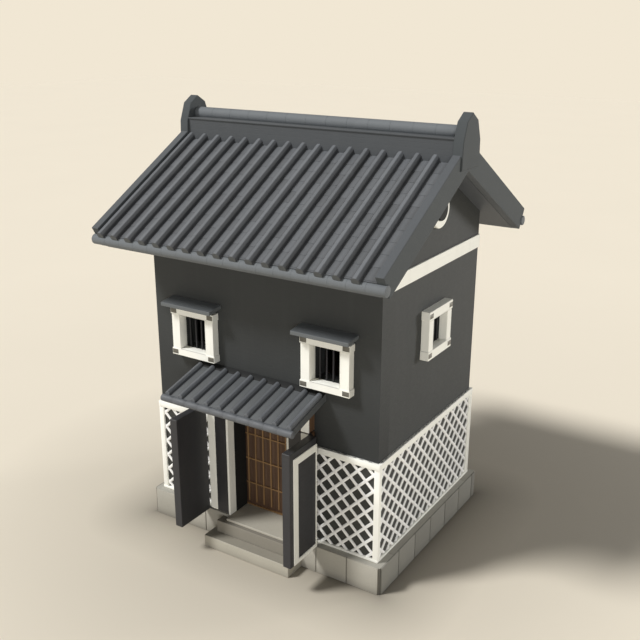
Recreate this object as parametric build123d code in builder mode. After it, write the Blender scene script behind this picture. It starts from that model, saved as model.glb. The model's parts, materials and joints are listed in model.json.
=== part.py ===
"""Namako-wall storehouse (kura): a two-storey plastered storehouse on a stone plinth.

Frame: origin at ground level under the middle of the building, +Z up,
the doorway faces -Y, +X is the right-hand gable.  Millimetres.
"""
from build123d import *
import os
from math import cos, radians, sin, tan

# body of the building
width = 4500            # outer faces of the gable walls
depth = 3534            # outer faces of the front and back walls
wall = 320              # thickness of the plastered earth walls

# stone base
plinth_height = 502
ledge = 158             # how far the plinth stands out from the walls
facing_proud = 24       # dressed stones in front of the plinth core
facing_bottom = 30
facing_top = 470
facing_corner = 22      # strip of core left bare at each corner
floor_thickness = 40
lower_step_half = 900
lower_step_front = 400  # in front of the facing stones
lower_step_height = 225
upper_step_half = 780
upper_step_front = 190
upper_step_height = 455
threshold_front = 120   # over the upper step

# doorway
door_half = 615         # clear half width
door_head = 2450        # height of the opening over the ground
surround_half = 1055
surround_proud = 175
lining = 42             # white lining round the opening
outer_band = 155        # white band on the outer edge of the surround
facing = 20             # plaster facing on the timber of the surround

# door leaves
leaf_inset = 281        # a closed leaf stops this far inside the edge of the surround
leaf_thickness = 150
leaf_lift = 8           # over the threshold
leaf_over_head = 110    # the leaf's top over the head of the opening
leaf_gap = 8            # running clearance of the leaves
meeting_gap = 8         # between the closed leaves
open_setback = 15       # open leaf stands this far in front of the surround
border_free_inset = 90  # bare edge of the leaf outside its white border
border_hinge_inset = 14
border_foot_inset = 20
border_head_inset = 110
border_wide = 130       # the border on the free edge and at the head
border_hinge = 20
border_foot = 70
border_thickness = 20
pivot_radius = 16
pivot_clearance = 0.1
pivot_eye = 36
eye_sides = 8
slot_reach = 230        # the arm's slot runs this far in from the pivot
arm_shoulder = 25       # the arm leaves its eye this far from the pin's axis
arm_foot = 90           # width of the arm where it meets the leaf
arm_thickness = 12
arm_gap = 6
collar = 60             # square collar under each arm
seat_gap = 0.3

# sliding lattice door
slider_lap = 40         # the door overlaps the opening by this much at each side
slider_over_head = 55
slider_board = 20
slider_bar = 24
slider_bar_depth = 22
slider_pitch = 163
slider_bars = 8
slider_rail_pitch = 487
slider_rail_first = 955
slider_rails = 4
slider_foot = 60        # plain foot of the door under the bars
slider_gap = 6
slider_travel = 1200
sill_thickness = 15
track_lip = 20
track_lip_height = 14
head_track_height = 60
track_end = 20          # track runs this far past the door at both ends

# windows
window_centre = 1330
window_half = 463
window_bottom = 3350
window_top = 4215
window_proud = 155
window_post = 165
window_rail = 120
rail_end = 15           # the rails run this far past the posts
rail_step = 8           # and stand this far in front of them
side_window_half = 440
side_window_bottom = 3600
side_window_top = 4440
side_window_post = 163
side_window_rail = 155
hood_half = 530
hood_reach = 317
hood_thickness = 68
hood_over_window = 157
hood_pitch = 8

# namako lattice
lattice_top = 2290
diamonds_high = 6
diamond_rise = 287.3    # from crossing to crossing
front_run = 290.5
side_run = 294.5
net_top_hidden = 29     # the top crossings lie behind the top rail
lattice_rib = 62
lattice_proud = 34
rail_proud = 54
post_proud = 44
top_rail = 110
bottom_rail = 40
corner_post = 50        # on each wall face, from the building's corner

# upper floor
upper_floor_top = 2880
upper_floor_thickness = 45
joist_width = 110
joist_depth = 150
joists = 4

# main roof
pitch = 29.5
eave_height = 5684      # soffit over the outer face of the long walls
eave_overhang = 715
gable_overhang = 493
roof_thickness = 277
verge_width = 143
verge_rise = 120
rib_apothem = 84
rib_sides = 8
first_rib_in = 52       # first rib's centre from the inner face of the left bargeboard
rib_pitch = 303
rib_overhang = 92
rib_start = 90          # below the ridge line, hidden in the ridge wall
eave_roll_radius = 88
eave_roll_out = 26
eave_roll_up = 176
roll_over_verge = 22
roll_sides = 16
ridge_half = 280
ridge_rise = 198        # top of the ridge wall over the meeting of the slopes
ridge_cap = 22
ridge_cap_over = 18
ridge_roll_radius = 88
ridge_roll_seat = 5
ridge_end_half = 335
ridge_end_proud = 27
ridge_end_drop = 282    # below the meeting of the slopes
ridge_end_spring = 52
ridge_end_rise = 640
ridge_end_sides = 6

# gable ornament
band_below_eave = 408   # top of the white band under the eave line
band_height = 234
band_proud = 30
roundel_drop = 654      # below the apex of the soffit
roundel_sides = 24
roundel_radius = 300
roundel_proud = 70
boss_radius = 175
boss_proud = 108

# porch roof
porch_half = 1275
porch_wall_top = 3256
porch_pitch = 14.8
porch_reach = 990
porch_thickness = 120
porch_rib_apothem = 46
porch_rib_up = 20       # the ribs' axes over the slab
porch_rib_pitch = 270
porch_ribs = 10
porch_rib_setback = 100
porch_rib_short = 30
porch_roll_radius = 60
porch_roll_over = 35
porch_roll_drop = 45

# worked out from the above
half_w = width / 2
half_d = depth / 2
front = -half_d
inner_front = front + wall
inner_x = half_w - wall
inner_y = half_d - wall
plinth_x = half_w + ledge
plinth_y = half_d + ledge
stone_front = -plinth_y - facing_proud
surround_front = front - surround_proud
slope = tan(radians(pitch))
soffit_apex = eave_height + slope * half_d
slope_length = (half_d + eave_overhang) / cos(radians(pitch))
verge_half = half_w + gable_overhang
verge_inner = verge_half - verge_width
verge_top = roof_thickness + verge_rise
roof_apex = soffit_apex + roof_thickness / cos(radians(pitch))
ridge_foot = roof_apex - slope * ridge_half
ridge_top = roof_apex + ridge_rise
ribs = int((2 * verge_inner - first_rib_in) / rib_pitch) + 1
eave_roll_half = verge_half + roll_over_verge
roundel_centre = soffit_apex - roundel_drop

window_clear = window_half - rail_end - window_post
side_window_clear = side_window_half - rail_end - side_window_post

# hinge line of the leaves: one turn of 90 degrees carries a leaf from shut,
# in front of the surround, to open, square to the wall beside it
leaf_bottom = plinth_height + leaf_lift
leaf_top = door_head + leaf_over_head
leaf_hinge_end = surround_half - leaf_inset
leaf_length = leaf_hinge_end - meeting_gap / 2
leaf_open_x = surround_half + leaf_gap
leaf_open_y = surround_front - open_setback
pivot_x = (leaf_open_x + surround_front - leaf_gap - leaf_open_y + leaf_hinge_end) / 2
pivot_y = (leaf_open_x + surround_front - leaf_gap + leaf_open_y - leaf_hinge_end) / 2
slot_bottom = plinth_height
slot_low_top = leaf_bottom + arm_thickness + arm_gap
slot_high_bottom = leaf_top - arm_thickness - arm_gap
slot_high_top = leaf_top + arm_gap

os.makedirs("parts", exist_ok=True)


def save(part, name):
    """Label a finished sub-part and write it as a STEP file of that name."""
    part.part.label = name
    export_step(part.part, f"parts/{name}.step")


def block(x, y, z, mode=Mode.ADD):
    """A box given by its limits along X, Y and Z."""
    with Locations(((x[0] + x[1]) / 2, (y[0] + y[1]) / 2, (z[0] + z[1]) / 2)):
        Box(x[1] - x[0], y[1] - y[0], z[1] - z[0], mode=mode)


def along_x(points, x0, x1, mode=Mode.ADD):
    """A straight prism: the outline is (y, z) points, run from x0 to x1."""
    with BuildSketch(Plane.YZ.offset(x0)) as profile:
        with BuildLine():
            Polyline(*points, close=True)
        make_face()
    extrude(profile.sketch, amount=x1 - x0, mode=mode)


def soffit(y):
    """Height of the underside of the roof over a point at depth y."""
    return soffit_apex - slope * abs(y)


def on_slope(side, down, up):
    """(y, z) of a point: down the soffit from the ridge, and up square to it."""
    run = down * cos(radians(pitch)) + up * sin(radians(pitch))
    rise = up * cos(radians(pitch)) - down * sin(radians(pitch))
    return (side * run, soffit_apex + rise)


def slope_plane(side, x, down, up):
    """Plane square to the roof slope, whose normal runs up to the ridge."""
    y, z = on_slope(side, down, up)
    uphill = (0, -side * cos(radians(pitch)), sin(radians(pitch)))
    return Plane(origin=(x, y, z), x_dir=(1, 0, 0), z_dir=uphill)


def porch_surface(y, up=0):
    """Height of the porch roof over depth y, measured square up from its top."""
    fall = tan(radians(porch_pitch)) * (y - front)
    return porch_wall_top + fall + up / cos(radians(porch_pitch))


# stone base
with BuildPart() as plinth:
    block((-plinth_x, plinth_x), (-plinth_y, plinth_y), (0, plinth_height))
    for side in (-1, 1):
        y0, y1 = sorted((side * plinth_y, side * (plinth_y + facing_proud)))
        block((-plinth_x + facing_corner, plinth_x - facing_corner), (y0, y1), (facing_bottom, facing_top))
        x0, x1 = sorted((side * plinth_x, side * (plinth_x + facing_proud)))
        block((x0, x1), (-plinth_y + facing_corner, plinth_y - facing_corner), (facing_bottom, facing_top))
    block((-inner_x, inner_x), (-inner_y, inner_y), (plinth_height - floor_thickness, plinth_height), Mode.SUBTRACT)
    block((-door_half, door_half), (stone_front, -inner_y), (upper_step_height, plinth_height), Mode.SUBTRACT)
save(plinth, "plinth")

with BuildPart() as ground_floor:
    block((-inner_x, inner_x), (-inner_y, inner_y), (plinth_height - floor_thickness, plinth_height))
save(ground_floor, "ground_floor")

with BuildPart() as lower_step:
    block((-lower_step_half, lower_step_half), (stone_front - lower_step_front, stone_front), (0, lower_step_height))
save(lower_step, "lower_step")

with BuildPart() as upper_step:
    block(
        (-upper_step_half, upper_step_half),
        (stone_front - upper_step_front, stone_front),
        (lower_step_height, upper_step_height),
    )
save(upper_step, "upper_step")

with BuildPart() as threshold:
    block((-door_half, door_half), (stone_front - threshold_front, -inner_y), (upper_step_height, plinth_height))
save(threshold, "threshold")


# walls
def front_panel(x0, x1, z0, side=-1):
    """A stretch of long wall from z0 up to the slope of the soffit."""
    outer = side * half_d
    inner = side * inner_y
    along_x([(outer, z0), (inner, z0), (inner, soffit(inner)), (outer, soffit(outer))], x0, x1)


for name, side in (("front_wall_left", -1), ("front_wall_right", 1)):
    with BuildPart() as panel:
        x0, x1 = sorted((side * door_half, side * half_w))
        front_panel(x0, x1, plinth_height)
        block(
            (side * window_centre - window_clear, side * window_centre + window_clear),
            (front, inner_front),
            (window_bottom + window_rail, window_top - window_rail),
            Mode.SUBTRACT,
        )
    save(panel, name)

with BuildPart() as over_door:
    front_panel(-door_half, door_half, door_head)
save(over_door, "front_wall_over_door")

with BuildPart() as back_wall:
    front_panel(-half_w, half_w, plinth_height, side=1)
save(back_wall, "back_wall")

for name, side in (("left_wall", -1), ("right_wall", 1)):
    with BuildPart() as gable:
        x0, x1 = sorted((side * inner_x, side * half_w))
        outline = [
            (-inner_y, plinth_height),
            (inner_y, plinth_height),
            (inner_y, soffit(inner_y)),
            (0, soffit_apex),
            (-inner_y, soffit(inner_y)),
        ]
        along_x(outline, x0, x1)
        block(
            (x0, x1),
            (-side_window_clear, side_window_clear),
            (side_window_bottom + side_window_rail, side_window_top - side_window_rail),
            Mode.SUBTRACT,
        )
    save(gable, name)

with BuildPart() as upper_floor:
    block((-inner_x, inner_x), (-inner_y, inner_y), (upper_floor_top - upper_floor_thickness, upper_floor_top))
    joist_top = upper_floor_top - upper_floor_thickness
    joist_gap = 2 * inner_x / (joists + 1)
    with BuildSketch(Plane.XZ.offset(-inner_y)):
        with Locations((0, joist_top - joist_depth / 2)):
            with GridLocations(joist_gap, 1, joists, 1):
                Rectangle(joist_width, joist_depth)
    extrude(amount=2 * inner_y)
save(upper_floor, "upper_floor")


# namako lattice
def lattice(wall_face, run, x0, x1, left_post, right_post):
    """One stretch of lattice from x0 to x1 along a wall face.

    The plane's origin is the middle of the wall at ground level.  The
    diagonals cross on a net centred on it, which hangs from the top rail,
    and what falls outside the stretch is cut off.
    """
    net_height = diamonds_high * diamond_rise
    net_middle = lattice_top - top_rail + net_top_hidden - net_height / 2
    lean = Vector(run, diamond_rise).get_angle(Vector(1, 0))
    reach = net_height / sin(radians(lean)) + 2 * lattice_rib
    first = int((x0 - net_height) / run) - 1
    last = int((x1 + net_height) / run) + 1
    height = lattice_top - plinth_height
    middle = (x0 + x1) / 2
    with BuildSketch(wall_face) as net:
        for turn in (lean, -lean):
            with Locations(*[(k * run, net_middle) for k in range(first, last + 1)]):
                Rectangle(reach, lattice_rib, rotation=turn)
        with Locations((middle, plinth_height + height / 2)):
            Rectangle(x1 - x0, height, mode=Mode.INTERSECT)
    extrude(net.sketch, amount=lattice_proud)
    with BuildSketch(wall_face) as posts:
        for x, post in ((x0 + left_post / 2, left_post), (x1 - right_post / 2, right_post)):
            if post:
                with Locations((x, plinth_height + height / 2)):
                    Rectangle(post, height)
    extrude(posts.sketch, amount=post_proud)
    with BuildSketch(wall_face) as rails:
        with Locations((middle, plinth_height + bottom_rail / 2)):
            Rectangle(x1 - x0, bottom_rail)
        with Locations((middle, lattice_top - top_rail / 2)):
            Rectangle(x1 - x0, top_rail)
    extrude(rails.sketch, amount=rail_proud)


corner_front = corner_post + rail_proud
with BuildPart() as lattice_front:
    face = Plane(origin=(0, front, 0), x_dir=(1, 0, 0), z_dir=(0, -1, 0))
    lattice(face, front_run, -half_w - rail_proud, -surround_half, corner_front, 0)
    lattice(face, front_run, surround_half, half_w + rail_proud, 0, corner_front)
save(lattice_front, "front_lattice")

with BuildPart() as lattice_back:
    face = Plane(origin=(0, half_d, 0), x_dir=(-1, 0, 0), z_dir=(0, 1, 0))
    lattice(face, front_run, -half_w - rail_proud, half_w + rail_proud, corner_front, corner_front)
save(lattice_back, "back_lattice")

for name, side in (("left_lattice", -1), ("right_lattice", 1)):
    with BuildPart() as lattice_side:
        face = Plane(origin=(side * half_w, 0, 0), x_dir=(0, side, 0), z_dir=(side, 0, 0))
        lattice(face, side_run, -half_d, half_d, corner_post, corner_post)
    save(lattice_side, name)


# doorway surround
def under_porch(x, y, z0):
    """A box under the porch: its top follows the slope of the porch underside."""
    top = [porch_surface(edge, -porch_thickness) for edge in y]
    along_x([(y[0], z0), (y[1], z0), (y[1], top[1]), (y[0], top[0])], x[0], x[1])


def hinge_slots():
    """Room for the pivot arms at the foot and over the leaf, at both jambs."""
    for side in (-1, 1):
        x0, x1 = sorted((side * (pivot_x - slot_reach), side * surround_half))
        for z0, z1 in ((slot_bottom, slot_low_top), (slot_high_bottom, slot_high_top)):
            block((x0, x1), (surround_front, pivot_y + pivot_eye + arm_gap), (z0, z1), Mode.SUBTRACT)


with BuildPart() as jambs:
    for side in (-1, 1):
        x0, x1 = sorted((side * (door_half + lining), side * surround_half))
        under_porch((x0, x1), (surround_front + facing, front), plinth_height)
    hinge_slots()
save(jambs, "door_jambs")

lining_top = door_head + lining
with BuildPart() as head_beam:
    under_porch((-door_half - lining, door_half + lining), (surround_front + facing, front), lining_top)
save(head_beam, "door_head_beam")

black_half = surround_half - outer_band
black_top = lining_top + black_half - door_half - lining
with BuildPart() as white_bands:
    under_porch((-surround_half, surround_half), (surround_front, surround_front + facing), plinth_height)
    block((-black_half, black_half), (surround_front, surround_front + facing), (plinth_height, black_top), Mode.SUBTRACT)
    hinge_slots()
save(white_bands, "surround_white_bands")

with BuildPart() as black_bands:
    for side in (-1, 1):
        x0, x1 = sorted((side * (door_half + lining), side * black_half))
        block((x0, x1), (surround_front, surround_front + facing), (plinth_height, black_top))
    block((-door_half - lining, door_half + lining), (surround_front, surround_front + facing), (lining_top, black_top))
    hinge_slots()
save(black_bands, "surround_black_band")

with BuildPart() as white_lining:
    for side in (-1, 1):
        x0, x1 = sorted((side * door_half, side * (door_half + lining)))
        block((x0, x1), (surround_front, front), (plinth_height, lining_top))
    block((-door_half, door_half), (surround_front, front), (door_head, lining_top))
save(white_lining, "doorway_lining")


# door leaves and their pivots
def leaf_outline(side):
    """Limits of the open leaf along X, hinge face first, and along Y."""
    x0, x1 = sorted((side * leaf_open_x, side * (leaf_open_x + leaf_thickness)))
    return (x0, x1), (leaf_open_y - leaf_length, leaf_open_y)


for name, side in (("left_door", -1), ("right_door", 1)):
    x_limits, y_limits = leaf_outline(side)
    outer_x = side * (leaf_open_x + leaf_thickness)
    z_limits = (leaf_bottom, leaf_top)
    with BuildPart() as leaf:
        block(x_limits, y_limits, z_limits)
    save(leaf, name)

    with BuildPart() as border:
        x0, x1 = sorted((outer_x, outer_x + side * border_thickness))
        y0, y1 = y_limits[0] + border_free_inset, y_limits[1] - border_hinge_inset
        z0, z1 = leaf_bottom + border_foot_inset, leaf_top - border_head_inset
        block((x0, x1), (y0, y1), (z0, z1))
        block(
            (x0, x1),
            (y0 + border_wide, y1 - border_hinge),
            (z0 + border_foot, z1 - border_wide),
            Mode.SUBTRACT,
        )
    save(border, f"{name}_border")

    with BuildPart() as arms:
        for z0 in (leaf_bottom, leaf_top - arm_thickness):
            with BuildSketch(Plane.XY.offset(z0)):
                with Locations((side * pivot_x, pivot_y)):
                    RegularPolygon(pivot_eye, eye_sides)
                with BuildLine():
                    Polyline(
                        (side * (pivot_x - arm_shoulder), pivot_y - arm_shoulder),
                        (side * (pivot_x + arm_shoulder), pivot_y + arm_shoulder),
                        (side * (leaf_open_x + arm_foot), leaf_open_y),
                        (side * leaf_open_x, leaf_open_y),
                        close=True,
                    )
                make_face()
                with Locations((side * pivot_x, pivot_y)):
                    Circle(pivot_radius + pivot_clearance, mode=Mode.SUBTRACT)
            extrude(amount=arm_thickness)
    save(arms, f"{name}_pivot_arms")

with BuildPart() as pins:
    for side in (-1, 1):
        for z0, z1, seat in (
            (slot_bottom, slot_low_top, leaf_bottom),
            (slot_high_bottom, slot_high_top, leaf_top - arm_thickness),
        ):
            with BuildSketch(Plane.XY.offset(z0)):
                with Locations((side * pivot_x, pivot_y)):
                    Circle(pivot_radius)
            extrude(amount=z1 - z0)
            with BuildSketch(Plane.XY.offset(z0)):
                with Locations((side * pivot_x, pivot_y)):
                    Rectangle(collar, collar)
            extrude(amount=seat - seat_gap - z0)
save(pins, "door_pivot_pins")

# sliding lattice door
slider_half = door_half + slider_lap
slider_top = door_head + slider_over_head
slider_front = inner_front + slider_gap
slider_back = slider_front + slider_bar_depth + slider_board
slider_bottom = plinth_height + sill_thickness + seat_gap

with BuildPart() as slider:
    block((-slider_half, slider_half), (slider_front + slider_bar_depth, slider_back), (slider_bottom, slider_top))
    bar_bottom = slider_bottom + slider_foot
    with BuildSketch(Plane.XZ.offset(-slider_front - slider_bar_depth)):
        with Locations((0, (bar_bottom + slider_top) / 2)):
            with GridLocations(slider_pitch, 1, slider_bars, 1):
                Rectangle(slider_bar, slider_top - bar_bottom)
        for k in range(slider_rails):
            with Locations((0, slider_rail_first + k * slider_rail_pitch)):
                Rectangle(2 * slider_half, slider_bar)
    extrude(amount=slider_bar_depth)
save(slider, "lattice_door")

with BuildPart() as track:
    x_limits = (-slider_half - track_end, slider_half + slider_travel + track_end)
    lip = (slider_back + slider_gap, slider_back + slider_gap + track_lip)
    sill_top = plinth_height + sill_thickness
    head_bottom = slider_top + slider_gap
    block(x_limits, (inner_front, lip[1]), (plinth_height, sill_top))
    block(x_limits, lip, (sill_top, sill_top + track_lip_height))
    block(x_limits, (inner_front, lip[1]), (head_bottom, head_bottom + head_track_height))
    block(x_limits, lip, (head_bottom - slider_gap - track_lip_height, head_bottom))
save(track, "lattice_door_track")


# windows
def window_frame(half, bottom, top, post, rail, wall_face):
    """Plastered frame: two posts, and two rails that lap past and stand before them."""
    middle = (bottom + top) / 2
    clear = half - rail_end - post
    with BuildSketch(wall_face) as posts:
        with Locations((-clear - post / 2, middle), (clear + post / 2, middle)):
            Rectangle(post, top - bottom)
    extrude(posts.sketch, amount=window_proud - rail_step)
    with BuildSketch(wall_face) as rails:
        with Locations((0, bottom + rail / 2), (0, top - rail / 2)):
            Rectangle(2 * half, rail)
    extrude(rails.sketch, amount=window_proud)


with BuildPart() as front_frames:
    for side in (-1, 1):
        face = Plane(origin=(side * window_centre, front, 0), x_dir=(1, 0, 0), z_dir=(0, -1, 0))
        window_frame(window_half, window_bottom, window_top, window_post, window_rail, face)
save(front_frames, "front_windows")

with BuildPart() as hoods:
    fall = tan(radians(hood_pitch)) * hood_reach
    hood_rear_top = window_top + hood_over_window
    outline = [
        (front, hood_rear_top),
        (front - hood_reach, hood_rear_top - fall),
        (front - hood_reach, hood_rear_top - fall - hood_thickness),
        (front, hood_rear_top - hood_thickness),
    ]
    for side in (-1, 1):
        along_x(outline, side * window_centre - hood_half, side * window_centre + hood_half)
save(hoods, "front_window_hoods")

with BuildPart() as side_frames:
    for side in (-1, 1):
        face = Plane(origin=(side * half_w, 0, 0), x_dir=(0, side, 0), z_dir=(side, 0, 0))
        window_frame(
            side_window_half,
            side_window_bottom,
            side_window_top,
            side_window_post,
            side_window_rail,
            face,
        )
save(side_frames, "side_windows")

# gable ornament
band_top = eave_height - band_below_eave
with BuildPart() as bands:
    for side in (-1, 1):
        x0, x1 = sorted((side * half_w, side * (half_w + band_proud)))
        block((x0, x1), (-half_d, half_d), (band_top - band_height, band_top))
save(bands, "gable_bands")

with BuildPart() as rings:
    for side in (-1, 1):
        plane = Plane(origin=(side * half_w, 0, roundel_centre), x_dir=(0, side, 0), z_dir=(side, 0, 0))
        with BuildSketch(plane):
            RegularPolygon(roundel_radius, roundel_sides)
            RegularPolygon(boss_radius, roundel_sides, mode=Mode.SUBTRACT)
        extrude(amount=roundel_proud)
save(rings, "gable_rings")

with BuildPart() as bosses:
    for side in (-1, 1):
        plane = Plane(origin=(side * half_w, 0, roundel_centre), x_dir=(0, side, 0), z_dir=(side, 0, 0))
        with BuildSketch(plane):
            RegularPolygon(boss_radius, roundel_sides)
        extrude(amount=boss_proud)
save(bosses, "gable_bosses")


# main roof
def eave_roll_cut(side, half):
    """Take the round eave roll out of what it is bedded in."""
    y, z = on_slope(side, slope_length + eave_roll_out, eave_roll_up)
    with BuildSketch(Plane.YZ.offset(-half)) as bed:
        with Locations((y, z)):
            RegularPolygon(eave_roll_radius, roll_sides)
    extrude(bed.sketch, amount=2 * half, mode=Mode.SUBTRACT)


def rib_row(side):
    """Cover ribs down one slope, from inside the ridge wall past the eave."""
    start = slope_length + rib_overhang
    for k in range(ribs):
        x = first_rib_in - verge_inner + k * rib_pitch
        with BuildSketch(slope_plane(side, x, start, roof_thickness)) as rib:
            RegularPolygon(rib_apothem, rib_sides, major_radius=False, rotation=180 / rib_sides)
        extrude(rib.sketch, amount=start - rib_start)


def ridge_wall_outline(foot, top):
    """The ridge wall's section, sitting astride both slopes."""
    return [(-ridge_half, foot), (0, roof_apex), (ridge_half, foot), (ridge_half, top), (-ridge_half, top)]


over_eaves = [(-half_d - slope_length, 0), (half_d + slope_length, 0), (0, 2 * ridge_top)]
for name, side in (("front_roof", -1), ("back_roof", 1)):
    with BuildPart() as roof:
        outline = [
            (0, soffit_apex),
            on_slope(side, slope_length, 0),
            on_slope(side, slope_length, roof_thickness),
            (0, soffit_apex + roof_thickness / cos(radians(pitch))),
        ]
        along_x(outline, -verge_inner, verge_inner)
        rib_row(side)
        along_x(ridge_wall_outline(ridge_foot, ridge_top), -verge_half, verge_half, Mode.SUBTRACT)
        along_x(over_eaves, -verge_inner - rib_pitch, -verge_inner, Mode.SUBTRACT)
        along_x(over_eaves, verge_inner, verge_inner + rib_pitch, Mode.SUBTRACT)
        eave_roll_cut(side, eave_roll_half)
    save(roof, name)

with BuildPart() as rolls:
    for side in (-1, 1):
        y, z = on_slope(side, slope_length + eave_roll_out, eave_roll_up)
        with BuildSketch(Plane.YZ.offset(-eave_roll_half)):
            with Locations((y, z)):
                RegularPolygon(eave_roll_radius, roll_sides)
        extrude(amount=2 * eave_roll_half)
save(rolls, "eave_rolls")

barge_outline = [
    (0, soffit_apex),
    on_slope(-1, slope_length, 0),
    on_slope(-1, slope_length, verge_top),
    (0, soffit_apex + verge_top / cos(radians(pitch))),
    on_slope(1, slope_length, verge_top),
    on_slope(1, slope_length, 0),
]
with BuildPart() as bargeboards:
    for side in (-1, 1):
        x0, x1 = sorted((side * verge_inner, side * verge_half))
        along_x(barge_outline, x0, x1)
    for side in (-1, 1):
        eave_roll_cut(side, eave_roll_half)
save(bargeboards, "bargeboards")

with BuildPart() as ridge:
    along_x(ridge_wall_outline(ridge_foot, ridge_top - ridge_cap), -verge_inner, verge_inner)
    cap_half = ridge_half + ridge_cap_over
    block((-verge_inner, verge_inner), (-cap_half, cap_half), (ridge_top - ridge_cap, ridge_top))
save(ridge, "ridge_wall")

with BuildPart() as ridge_roll:
    centre = ridge_top + ridge_roll_radius - ridge_roll_seat
    with BuildSketch(Plane.YZ.offset(-verge_inner)):
        with Locations((0, centre)):
            RegularPolygon(ridge_roll_radius, roll_sides)
        with Locations((0, ridge_top - ridge_roll_radius)):
            Rectangle(2 * ridge_roll_radius, 2 * ridge_roll_radius, mode=Mode.SUBTRACT)
    extrude(amount=2 * verge_inner)
save(ridge_roll, "ridge_roll")

with BuildPart() as ridge_ends:
    step = 180 / ridge_end_sides
    arch = []
    for k in range(ridge_end_sides):
        angle = radians(step * (k + 0.5))
        arch.append((ridge_end_half * cos(angle), roof_apex - ridge_end_spring + ridge_end_rise * sin(angle)))
    foot = roof_apex - ridge_end_drop
    outline = [(ridge_end_half, foot)] + arch + [(-ridge_end_half, foot)]
    for side in (-1, 1):
        x0, x1 = sorted((side * verge_inner, side * (verge_half + ridge_end_proud)))
        along_x(outline, x0, x1)
        x0, x1 = sorted((side * verge_inner, side * verge_half))
        along_x(barge_outline, x0, x1, Mode.SUBTRACT)
save(ridge_ends, "ridge_ends")

# porch roof
porch_end = front - porch_reach
with BuildPart() as porch:
    outline = [
        (front, porch_surface(front)),
        (porch_end, porch_surface(porch_end)),
        (porch_end, porch_surface(porch_end, -porch_thickness)),
        (front, porch_surface(front, -porch_thickness)),
    ]
    along_x(outline, -porch_half, porch_half)
    first = -(porch_ribs - 1) / 2 * porch_rib_pitch
    uphill = (0, cos(radians(porch_pitch)), sin(radians(porch_pitch)))
    rib_end = porch_end + porch_rib_short
    rib_length = (front - porch_rib_setback - rib_end) / cos(radians(porch_pitch))
    for k in range(porch_ribs):
        foot = (first + k * porch_rib_pitch, rib_end, porch_surface(rib_end, porch_rib_up))
        with BuildSketch(Plane(origin=foot, x_dir=(1, 0, 0), z_dir=uphill)):
            RegularPolygon(porch_rib_apothem, rib_sides, major_radius=False, rotation=180 / rib_sides)
        extrude(amount=rib_length)
save(porch, "porch_roof")

with BuildPart() as porch_roll:
    roll_y = porch_end
    roll_z = porch_surface(porch_end) - porch_roll_drop
    with BuildSketch(Plane.YZ.offset(-porch_half - porch_roll_over)):
        with Locations((roll_y, roll_z)):
            RegularPolygon(porch_roll_radius, roll_sides)
    extrude(amount=2 * (porch_half + porch_roll_over))
    outline = [
        (front, porch_surface(front)),
        (porch_end, porch_surface(porch_end)),
        (porch_end, porch_surface(porch_end, -porch_thickness)),
        (front, porch_surface(front, -porch_thickness)),
    ]
    along_x(outline, -porch_half, porch_half, Mode.SUBTRACT)
save(porch_roll, "porch_eave_roll")
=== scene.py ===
# %% [markdown]
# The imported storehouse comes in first. It is the fixed frame: walls, roof, doors and
# steps stand where they are, and every piece made below is worked out from their boxes.
# %% Load the frame
import json
import math
from typing import NamedTuple

import bmesh
import bpy
import numpy as np
from mathutils import Matrix, Vector

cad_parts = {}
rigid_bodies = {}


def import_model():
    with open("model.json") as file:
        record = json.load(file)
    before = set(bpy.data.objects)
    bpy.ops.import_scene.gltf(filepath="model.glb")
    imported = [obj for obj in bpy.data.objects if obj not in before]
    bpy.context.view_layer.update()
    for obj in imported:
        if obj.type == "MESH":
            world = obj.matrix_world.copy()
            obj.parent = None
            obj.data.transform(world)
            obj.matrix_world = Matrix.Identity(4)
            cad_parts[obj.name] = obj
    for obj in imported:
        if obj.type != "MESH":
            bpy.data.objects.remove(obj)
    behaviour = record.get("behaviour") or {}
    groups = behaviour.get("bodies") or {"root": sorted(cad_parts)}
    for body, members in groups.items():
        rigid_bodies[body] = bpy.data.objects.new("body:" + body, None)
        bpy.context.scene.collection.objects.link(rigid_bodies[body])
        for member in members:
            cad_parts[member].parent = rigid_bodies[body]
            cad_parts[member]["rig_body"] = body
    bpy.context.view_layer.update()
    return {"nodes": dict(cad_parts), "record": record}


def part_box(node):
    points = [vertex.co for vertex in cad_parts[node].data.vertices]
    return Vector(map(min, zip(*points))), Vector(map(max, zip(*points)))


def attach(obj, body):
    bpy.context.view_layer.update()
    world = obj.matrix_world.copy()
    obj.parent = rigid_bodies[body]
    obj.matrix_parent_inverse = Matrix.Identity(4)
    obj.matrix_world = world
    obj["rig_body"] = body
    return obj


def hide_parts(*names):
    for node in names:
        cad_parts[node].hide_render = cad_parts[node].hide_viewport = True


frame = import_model()
nodes = frame["nodes"]
slot_of = {part["node"]: part["material_slot"] for part in frame["record"]["subparts"]}


# %% [markdown]
# The camera stands where the photographer stood: in front of the doorway's right-hand
# corner and a little higher than the ridge, looking down on the porch. Its place comes
# from lines on the building whose true lengths are known, so it is given in metres.
# %% Camera
image_px = 640
focal_px = 881.44
sensor_mm = 36.0
camera_place = Vector((8.0825, -12.6762, 8.9672))
azimuth = math.radians(32.416)
elevation = math.radians(19.167)
roll = math.radians(0.1117)

back = Vector((
    math.sin(azimuth) * math.cos(elevation),
    -math.cos(azimuth) * math.cos(elevation),
    math.sin(elevation),
))
level_right = (-back).cross(Vector((0, 0, 1))).normalized()
level_up = back.cross(level_right)
right = level_right * math.cos(roll) + level_up * math.sin(roll)
up = level_up * math.cos(roll) - level_right * math.sin(roll)

camera_data = bpy.data.cameras.new("camera")
camera_data.sensor_width = sensor_mm
camera_data.lens = focal_px * sensor_mm / image_px
camera_data.clip_end = 500.0
camera = bpy.data.objects.new("camera", camera_data)
facing = Matrix((right, up, back)).transposed().to_4x4()
camera.matrix_world = Matrix.Translation(camera_place) @ facing
scene = bpy.context.scene
scene.collection.objects.link(camera)
scene.camera = camera
print("camera lens mm", round(camera_data.lens, 2))


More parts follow.
